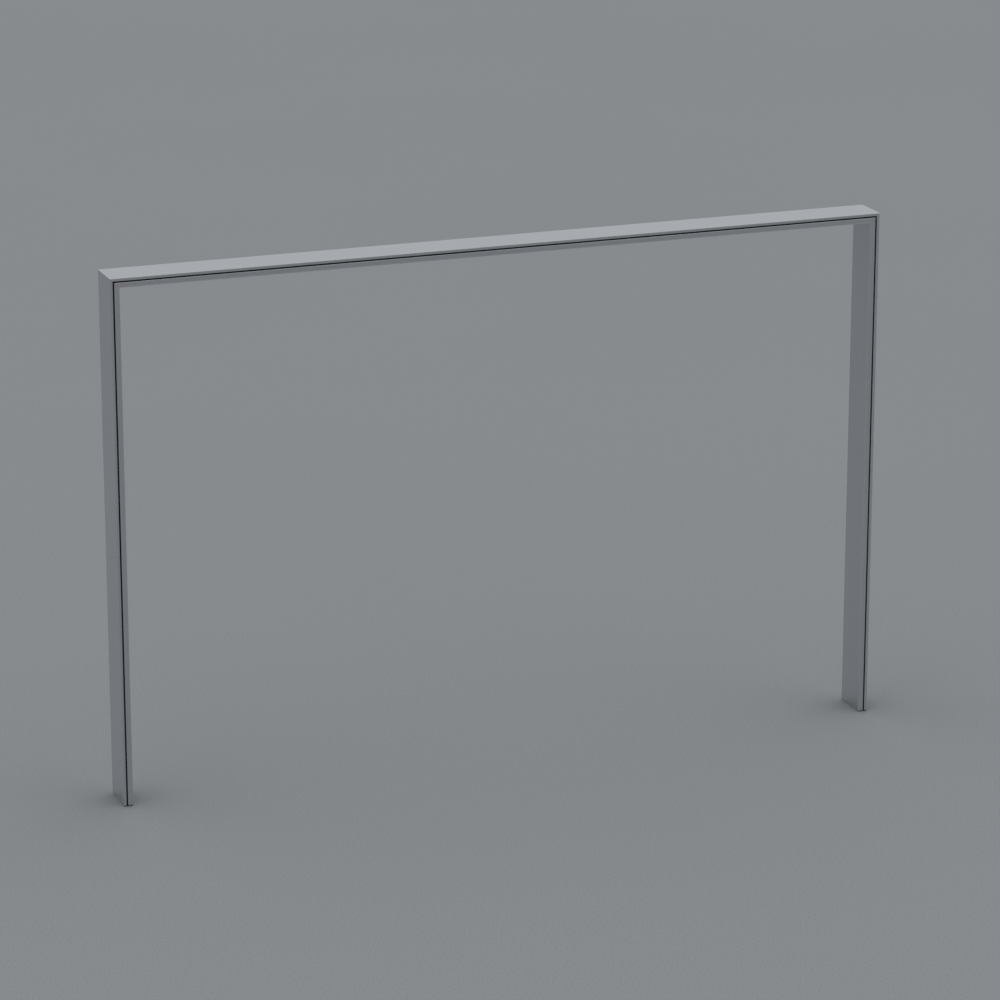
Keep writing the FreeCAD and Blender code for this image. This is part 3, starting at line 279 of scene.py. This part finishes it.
def circuit_board():
    """Solder mask over tracks that run along and across the board, with tinned pads."""
    m = Shade("board_laminate", (0.012, 0.105, 0.045), 0.34)
    parts = m.node("ShaderNodeSeparateXYZ", {"Vector": m.place})
    flat = m.node("ShaderNodeCombineXYZ", {0: parts.outputs["Y"], 1: parts.outputs["Z"]}).outputs["Vector"]
    turned = m.node("ShaderNodeCombineXYZ", {0: parts.outputs["Z"], 1: parts.outputs["Y"]}).outputs["Vector"]

    def tracks(place, width, height):
        brick = m.node("ShaderNodeTexBrick", {
            "Vector": place, "Scale": 1.0, "Mortar Size": 0.00022, "Mortar Smooth": 0.1,
            "Brick Width": width, "Row Height": height}, offset=0.37, squash=1.6, squash_frequency=3)
        return brick.outputs["Fac"]

    lines = m.math("MAXIMUM", tracks(flat, 0.017, 0.0021), tracks(turned, 0.023, 0.0034))
    m.paint(m.math("MULTIPLY", lines, 0.75), (0.05, 0.24, 0.10))
    pads = m.cells(210.0, place=flat)
    pad = m.span(pads, 0.17, 0.13, 0.0, 1.0)
    m.paint(pad, (0.62, 0.60, 0.56))
    m.paint(m.edges(0.0004), (0.36, 0.34, 0.18))
    m.vary_roughness(m.noise(70.0, 3.0, 0.6), 0.3, 0.7, 0.15)
    m.bump(m.math("MAXIMUM", lines, pad), 0.00004)
    return m.done()


def cable(name, colour):
    """Extruded jacket: dull and finely grained, with patches of pale dust."""
    m = Shade(name, colour, 0.55)
    m.paint(m.span(m.noise(35.0, 4.0, 0.65), 0.45, 0.8, 0.0, 0.5), tinted(colour, 1.8, 0.02))
    m.vary_roughness(m.noise(120.0, 3.0, 0.6), 0.3, 0.7, 0.18)
    m.bump(m.noise(1500.0, 2.0, 0.6), 0.00002)
    return m.done()


LOOKS = {
    "satin_aluminium": satin_aluminium(),
    "seam_black": moulded("seam_black", (0.0035, 0.0035, 0.004), 0.7, Specular_IOR_Level=0.15),
    "zinc_steel": zinc_steel(),
    "spring_steel": plain_metal("spring_steel", (0.55, 0.55, 0.56), 0.30, (0.72, 0.72, 0.73)),
    "dark_screws": plain_metal("dark_screws", (0.075, 0.075, 0.08), 0.42, (0.34, 0.34, 0.35)),
    "black_rubber": moulded("black_rubber", (0.009, 0.009, 0.010), 0.74, 1200.0, 0.00004),
    "grey_nylon": moulded("grey_nylon", (0.33, 0.34, 0.35), 0.46),
    "cable_jacket": cable("cable_jacket", (0.030, 0.030, 0.033)),
    "signal_jacket": cable("signal_jacket", (0.27, 0.28, 0.30)),
    "board_laminate": circuit_board(),
    "chip_black": moulded("chip_black", (0.022, 0.022, 0.024), 0.48, 4000.0),
    "capacitor_case": moulded("capacitor_case", (0.035, 0.06, 0.19), 0.28, 900.0, 0.00001),
    "terminal_green": moulded("terminal_green", (0.035, 0.24, 0.11), 0.38),
    "light_lens": moulded("light_lens", (0.50, 0.035, 0.025), 0.16, 1500.0, 0.00001),
    "black_anodised": plain_metal("black_anodised", (0.045, 0.045, 0.05), 0.38, (0.30, 0.30, 0.31)),
    "module_case": plain_metal("module_case", (0.60, 0.61, 0.62), 0.40, (0.78, 0.78, 0.79)),
    "black_plastic": moulded("black_plastic", (0.026, 0.026, 0.028), 0.44),
    "rocker_red": moulded("rocker_red", (0.50, 0.022, 0.018), 0.30, 1800.0, 0.00001),
    "button_blue": moulded("button_blue", (0.035, 0.12, 0.46), 0.28, 1800.0, 0.00001),
    "trimmer_blue": moulded("trimmer_blue", (0.03, 0.12, 0.38), 0.36),
    "brass_rotor": plain_metal("brass_rotor", (0.70, 0.52, 0.23), 0.28, (0.86, 0.70, 0.40)),
    "magnet_white": moulded("magnet_white", (0.72, 0.72, 0.69), 0.34),
}


def dress_frame():
    """Gives every CAD node the material of its slot."""
    slots = {part["node"]: part["material_slot"] for part in frame["record"]["subparts"]}
    for name, thing in NODES.items():
        for place in thing.material_slots:
            place.material = LOOKS[slots[name]]


# ---------------------------------------------------------------- small parts on the boards
# Everything on the boards faces the outer cover, so "up" from a board is towards -X.

MM = 0.001
SAME_PLACE = 100000          # vertices that round to the same hundredth of a millimetre are one
ORDER_DECIMALS = 4           # solids are put in order by their places to a tenth of a millimetre

# A chip's lead in mm: outwards from the body, and up from the board.
LEAD_PROFILE = ((-0.10, 0.60), (-0.10, 0.76), (0.42, 0.76), (0.60, 0.16),
                (1.15, 0.16), (1.15, 0.0), (0.48, 0.0), (0.32, 0.60))
LEAD_WIDE = 0.36 * MM
LEAD_PITCH = 1.0 * MM        # about, as the leads are spread evenly
LEAD_MARGIN = 0.7 * MM       # from the body's corner to its first lead

SCREW_RADIUS = 1.75 * MM
SCREW_SUNK = 0.5 * MM        # head below the rim of its well
SCREW_DEEP = 1.3 * MM
SCREW_SLOT = 0.55 * MM
SCREW_TURN = (0.5, 0.9, 40.0)          # in radians: a block's first screw, its next, and per metre of height
SLOTTED, CROSSED = 2, 4      # pieces that the grooves leave of a head

SUPPLY_SCREW_RADIUS = 2.3 * MM
SUPPLY_SCREWS = 5
SUPPLY_SCREW_TURN = 0.7      # from each screw to the next, in radians
SUPPLY_ROW = 12.0 * MM       # height of the supply's terminal row, at its top
SUPPLY_STEP = 6.0 * MM       # the row lies lower than the case

BOARD_SCREW_RADIUS = 2.3 * MM
BOARD_SCREW_HIGH = 1.2 * MM
BOARD_SCREW_TURN = (9.0, 30.0)         # in radians per metre across and up

HEAD_STEPS = 24              # sides of a round head
SECTOR_STEPS = 7             # sides of a sector's arc

CAN_DISC = 0.82              # of the can's radius
CAN_DISC_PROUD = 0.15 * MM
CAN_DISC_DEEP = 3 * CAN_DISC_PROUD
CAN_VENT = 0.5 * MM          # width of the vent cross
CAN_VENT_TURN = 0.4          # in radians

CHIP_PART = (2.0 * MM, 1.25 * MM, 0.55 * MM)       # surface part: long, wide, high
CHIP_PART_CAP = 0.4 * MM     # length of each tinned end
CHIP_PART_BODY = 0.9         # height of the body, as a share of the ends'
CHIP_PART_SHARE = 0.62       # of the grid's places that are meant to hold a part
UPRIGHT_SHARE = 0.35         # of the parts that stand lengthways up the board
CHIP_PART_GAP = 0.9 * MM     # least gap to the boards' larger parts
CHIP_PART_STEP = (4.2 * MM, 3.1 * MM)       # of the grid, across and up
BOARD_MARGIN = 2.6 * MM      # from the board's edge to the grid
SEED = 20

BOARDS = ("controller_board", "tuning_board")


def islands(node):
    """(lowest, highest) corner of each separate solid in a CAD node."""
    vertices = NODES[node].data.vertices
    keys = [tuple(round(c * SAME_PLACE) for c in v.co) for v in vertices]
    owner = {key: key for key in keys}

    def root(key):
        while owner[key] != key:
            key = owner[key]
        return key

    for edge in NODES[node].data.edges:
        a, b = (root(keys[i]) for i in edge.vertices)
        owner[a] = b
    groups = {}
    for key, v in zip(keys, vertices):
        groups.setdefault(root(key), []).append(v.co)
    boxes = [(Vector(map(min, zip(*group))), Vector(map(max, zip(*group)))) for group in groups.values()]
    return sorted(boxes, key=lambda box: (round(box[0].z, ORDER_DECIMALS), round(box[0].y, ORDER_DECIMALS)))


def add_prism(mesh, near, far):
    """Closed prism between two outlines with the same number of points."""
    rings = [[mesh.verts.new(point) for point in outline] for outline in (near, far)]
    mesh.faces.new(rings[0])
    mesh.faces.new(rings[1][::-1])
    for i in range(len(near)):
        mesh.faces.new((rings[0][i - 1], rings[1][i - 1], rings[1][i], rings[0][i]))


def add_plate(mesh, outline, x0, x1):
    """Prism of a (y, z) outline that runs from x0 to x1."""
    add_prism(mesh, [(x0, y, z) for y, z in outline], [(x1, y, z) for y, z in outline])


def sectors(y, z, radius, count, gap, turn):
    """Pie outlines round (y, z) with straight grooves between them."""
    half = math.pi / count
    trim = math.asin(gap / 2 / radius)
    tip = gap / 2 / math.sin(half)
    outlines = []
    for i in range(count):
        middle = turn + 2 * half * i
        points = [(y + tip * math.cos(middle), z + tip * math.sin(middle))]
        for j in range(SECTOR_STEPS + 1):
            angle = middle - half + trim + 2 * (half - trim) * j / SECTOR_STEPS
            points.append((y + radius * math.cos(angle), z + radius * math.sin(angle)))
        outlines.append(points)
    return outlines


def add_grooved_head(mesh, x, y, z, radius, deep, count, gap, turn):
    """Round head with its face at x: a grooved half on a plain one."""
    for outline in sectors(y, z, radius, count, gap, turn):
        add_plate(mesh, outline, x, x + deep / 2)
    angles = [2 * math.pi * i / HEAD_STEPS for i in range(HEAD_STEPS)]
    circle = [(y + radius * math.cos(angle), z + radius * math.sin(angle)) for angle in angles]
    add_plate(mesh, circle, x + deep / 2, x + deep)


def add_box(mesh, low, high):
    """Block between two corners, for parts of a larger piece."""
    outline = [(low[1], low[2]), (high[1], low[2]), (high[1], high[2]), (low[1], high[2])]
    add_plate(mesh, outline, low[0], high[0])


def finish_piece(name, mesh, slot, soften):
    """Turns the mesh into a piece on the gate, with eased edges and its slot's material."""
    bmesh.ops.recalc_face_normals(mesh, faces=mesh.faces)
    data = bpy.data.meshes.new(name)
    mesh.to_mesh(data)
    mesh.free()
    data.materials.append(LOOKS[slot])
    piece = bpy.data.objects.new(name, data)
    bpy.context.scene.collection.objects.link(piece)
    bevel = piece.modifiers.new("eased", "BEVEL")
    bevel.width = soften
    bevel.segments = 2
    bevel.limit_method = "ANGLE"
    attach(piece, "gate")


def add_leads(mesh, low, high, axis, side):
    """A row of bent leads along one side of a chip; axis 1 is Y and 2 is Z."""
    across = 3 - axis
    edge = high[across] if side > 0 else low[across]
    first, last = low[axis] + LEAD_MARGIN, high[axis] - LEAD_MARGIN
    gaps = max(1, round((last - first) / LEAD_PITCH))
    for i in range(gaps + 1):
        middle = first + (last - first) * i / gaps
        outlines = []
        for end in (-LEAD_WIDE / 2, LEAD_WIDE / 2):
            points = []
            for out, up in LEAD_PROFILE:
                point = [high.x - up * MM, 0.0, 0.0]
                point[axis] = middle + end
                point[across] = edge + side * out * MM
                points.append(point)
            outlines.append(points)
        add_prism(mesh, *outlines)


def make_chip_leads():
    """Leads on two sides of a long chip and on all four of a square one."""
    mesh = bmesh.new()
    for low, high in islands("chips"):
        wide, tall = high.y - low.y, high.z - low.z
        square = abs(wide - tall) < MM
        for axis, long_side in ((1, wide > tall), (2, tall > wide)):
            if square or long_side:
                for side in (-1, 1):
                    add_leads(mesh, low, high, axis, side)
    finish_piece("chip_leads", mesh, "spring_steel", 0.02 * MM)


def make_terminal_screws():
    """Two slotted screws in each terminal block, and cross-headed ones along the power supply's row."""
    mesh = bmesh.new()
    first, each, by_height = SCREW_TURN
    for low, high in islands("terminal_blocks"):
        wide, tall = high.y - low.y, high.z - low.z
        step_y, step_z = (wide / 4, 0.0) if wide >= tall else (0.0, tall / 4)
        y, z = (low.y + high.y) / 2, (low.z + high.z) / 2
        for i, side in enumerate((-1, 1)):
            turn = first + each * i + by_height * z
            add_grooved_head(mesh, low.x + SCREW_SUNK, y + side * step_y, z + side * step_z,
                             SCREW_RADIUS, SCREW_DEEP, SLOTTED, SCREW_SLOT, turn)
    low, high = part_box("power_supply")
    inset = SUPPLY_ROW / 2
    for i in range(SUPPLY_SCREWS):
        y = low.y + inset + (high.y - low.y - SUPPLY_ROW) * i / (SUPPLY_SCREWS - 1)
        add_grooved_head(mesh, low.x + SUPPLY_STEP + SCREW_SUNK, y, high.z - inset,
                         SUPPLY_SCREW_RADIUS, SCREW_DEEP, CROSSED, SCREW_SLOT, SUPPLY_SCREW_TURN * i)
    finish_piece("terminal_screws", mesh, "zinc_steel", 0.08 * MM)


def make_board_screws():
    """A cross-headed screw over each standoff, on its board's outer face."""
    mesh = bmesh.new()
    boards = [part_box(board) for board in BOARDS]
    across, up = BOARD_SCREW_TURN
    for low, high in islands("board_standoffs"):
        y, z = (low.y + high.y) / 2, (low.z + high.z) / 2
        for board_low, board_high in boards:
            if board_low.z < z < board_high.z:
                add_grooved_head(mesh, board_low.x - BOARD_SCREW_HIGH, y, z, BOARD_SCREW_RADIUS,
                                 BOARD_SCREW_HIGH, CROSSED, SCREW_SLOT, up * z + across * y)
    finish_piece("board_screws", mesh, "zinc_steel", 0.15 * MM)


def make_can_tops():
    """Bare aluminium discs with a vent cross on the round capacitors."""
    mesh = bmesh.new()
    for low, high in islands("capacitors"):
        wide, tall = high.y - low.y, high.z - low.z
        if abs(wide - tall) < MM:
            add_grooved_head(mesh, low.x - CAN_DISC_PROUD, (low.y + high.y) / 2, (low.z + high.z) / 2,
                             CAN_DISC * wide / 2, CAN_DISC_DEEP, CROSSED, CAN_VENT, CAN_VENT_TURN)
    finish_piece("can_tops", mesh, "module_case", 0.05 * MM)


def clear_places(board, obstacles):
    """Grid places on a board's outer face where a surface part fits, some of them left empty."""
    low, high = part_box(board)
    margin = CHIP_PART_GAP + CHIP_PART[0] / 2
    blocked = [box for node in obstacles for box in islands(node)]
    draw = random.Random(SEED)
    places = []
    columns = int((high.y - low.y - 2 * BOARD_MARGIN) / CHIP_PART_STEP[0])
    rows = int((high.z - low.z - 2 * BOARD_MARGIN) / CHIP_PART_STEP[1])
    for row in range(rows + 1):
        for column in range(columns + 1):
            y = low.y + BOARD_MARGIN + column * CHIP_PART_STEP[0]
            z = low.z + BOARD_MARGIN + row * CHIP_PART_STEP[1]
            fitted = draw.random() < CHIP_PART_SHARE
            upright = draw.random() < UPRIGHT_SHARE
            clear = all(y < b_low.y - margin or y > b_high.y + margin or
                        z < b_low.z - margin or z > b_high.z + margin for b_low, b_high in blocked)
            if fitted and clear:
                places.append((low.x, y, z, upright))
    return places


def make_surface_parts():
    """Small resistors and capacitors with tinned ends."""
    obstacles = ("chips", "capacitors", "heat_sink", "terminal_blocks", "status_lights", "trimmer_bodies",
                 "board_standoffs")
    bodies, caps = bmesh.new(), bmesh.new()
    long, wide, high = CHIP_PART
    half_cap = CHIP_PART_CAP / 2
    for board in BOARDS:
        for x, y, z, upright in clear_places(board, obstacles):
            dy, dz = (wide / 2, long / 2) if upright else (long / 2, wide / 2)
            by, bz = (0.0, CHIP_PART_CAP) if upright else (CHIP_PART_CAP, 0.0)
            add_box(bodies, (x - high * CHIP_PART_BODY, y - dy + by, z - dz + bz),
                    (x, y + dy - by, z + dz - bz))
            hy, hz = (dy, half_cap) if upright else (half_cap, dz)
            for side in (-1, 1):
                cy, cz = (0.0, side * (dz - half_cap)) if upright else (side * (dy - half_cap), 0.0)
                add_box(caps, (x - high, y + cy - hy, z + cz - hz), (x, y + cy + hy, z + cz + hz))
    finish_piece("surface_part_bodies", bodies, "chip_black", 0.04 * MM)
    finish_piece("surface_part_ends", caps, "spring_steel", 0.05 * MM)


def detail_boards():
    """Small parts that only the visual model has."""
    make_chip_leads()
    make_terminal_screws()
    make_board_screws()
    make_can_tops()
    make_surface_parts()


# ---------------------------------------------------------------- studio

def plain_floor():
    """Matt painted board: faint clouding and a fine roller texture."""
    m = Shade("studio_floor", FLOOR_COLOUR, 1.0, Specular_IOR_Level=0.0)
    m.paint(m.span(m.noise(0.35, 3.0, 0.5), 0.3, 0.7, 0.0, 1.0), tinted(FLOOR_COLOUR, FLOOR_CLOUD))
    m.paint(m.span(m.noise(130.0, 2.0, 0.7), 0.35, 0.65, 0.0, 1.0), tinted(FLOOR_COLOUR, FLOOR_GRAIN))
    m.bump(m.noise(160.0, 3.0, 0.5), 0.0002)
    return m.done()


def make_studio():
    """Even dome, one soft light overhead, a plain floor and the camera."""
    scene = bpy.context.scene
    scene.view_settings.view_transform = "Standard"
    scene.cycles.caustics_reflective = False      # the glossy legs would light up their own contact shade
    world = bpy.data.worlds.new("studio_dome")
    world.use_nodes = True
    world.node_tree.nodes["Background"].inputs["Color"].default_value = DOME + (1.0,)
    scene.world = world

    lamp = bpy.data.lights.new("softbox", "SUN")
    lamp.energy = SOFTBOX_POWER
    lamp.angle = math.radians(SOFTBOX_ANGLE)
    scene.collection.objects.link(bpy.data.objects.new("softbox", lamp))

    mesh = bpy.data.meshes.new("studio_floor")
    h = FLOOR_HALF
    mesh.from_pydata([(-h, -h, 0), (h, -h, 0), (h, h, 0), (-h, h, 0)], [], [(0, 1, 2, 3)])
    mesh.materials.append(plain_floor())
    floor = bpy.data.objects.new("studio_floor", mesh)
    scene.collection.objects.link(floor)

    lens = bpy.data.cameras.new("camera")
    lens.lens = CAMERA_LENS
    lens.clip_end = CAMERA_REACH
    camera = bpy.data.objects.new("camera", lens)
    camera.location = CAMERA_PLACE
    camera.rotation_euler = (math.radians(90 - CAMERA_ELEVATION), 0, math.radians(CAMERA_AZIMUTH))
    scene.collection.objects.link(camera)
    scene.camera = camera


dress_frame()
detail_boards()
make_studio()
